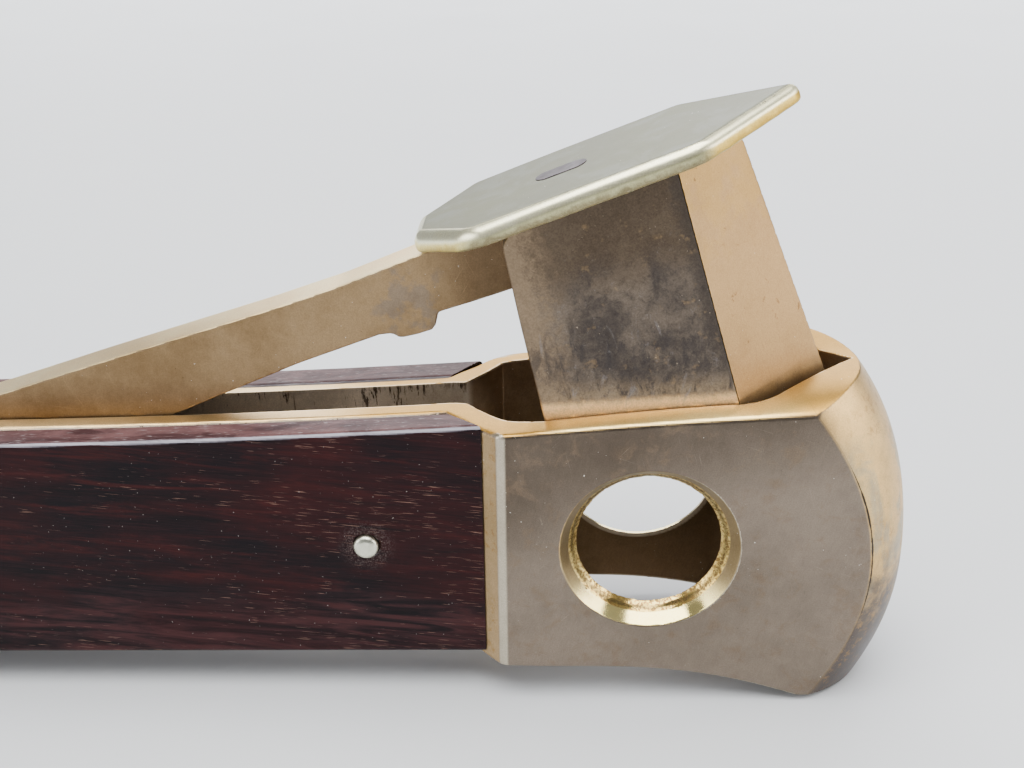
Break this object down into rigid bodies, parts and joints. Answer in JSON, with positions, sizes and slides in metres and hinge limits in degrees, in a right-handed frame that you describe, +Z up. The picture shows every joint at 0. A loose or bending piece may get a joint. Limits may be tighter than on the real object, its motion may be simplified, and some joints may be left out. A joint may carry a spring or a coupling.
{
  "type": "cigar cutter",
  "caption": "Lever-action cigar cutter: a spring-open lever pivoted in a slotted, wood-scaled metal handle swings curved blades across the guide hole of a hollow head.",
  "frame": {"origin": "centre of the bounding box's base, under the middle of the handle", "axes": "+X along the handle towards the nose of the cutting head, +Y away from the countersunk side, +Z up towards the thumb plate"},
  "size_m": [0.1314, 0.0198, 0.0621],
  "materials": {
    "frame_silver": "worn brushed nickel silver, a pale copper alloy, with rounded bright edges",
    "pin_silver": "polished nickel silver pins with a bright bevelled rim",
    "lever_silver": "browned nickel silver, mottled",
    "plate_silver": "polished nickel silver with a rounded bevel, greenish grey",
    "blade_steel": "dark stained steel with a bright ground edge",
    "spring_steel": "blued spring steel",
    "rivet_steel": "dull steel, filed flush",
    "rosewood": "dark oiled rosewood with open pores"
  },
  "bodies": {
    "frame": {"frame_body": "frame_silver", "near_scale": "rosewood", "far_scale": "rosewood", "front_pin": "pin_silver", "middle_pin": "pin_silver", "rear_pin": "pin_silver", "pivot_pin": "pin_silver", "rear_spacer": "frame_silver", "leaf_spring": "spring_steel", "spring_rivet": "rivet_steel"},
    "lever": {"lever_bar": "lever_silver", "blade_carrier": "lever_silver", "near_blade": "blade_steel", "far_blade": "blade_steel", "carrier_rivet_1": "rivet_steel", "carrier_rivet_2": "rivet_steel", "thumb_plate": "plate_silver", "thumb_tenon": "rivet_steel"}
  },
  "joints": [
    {"name": "lever_pivot", "type": "hinge", "parent": "frame", "child": "lever", "pos_m": [-0.0537, 0, 0.01878], "axis": [0, 1, 0], "range_deg": [0, 12.7], "stiffness_Nm_per_rad": 2, "springref_deg": -17.19, "deforming": ["leaf_spring"]}
  ]
}
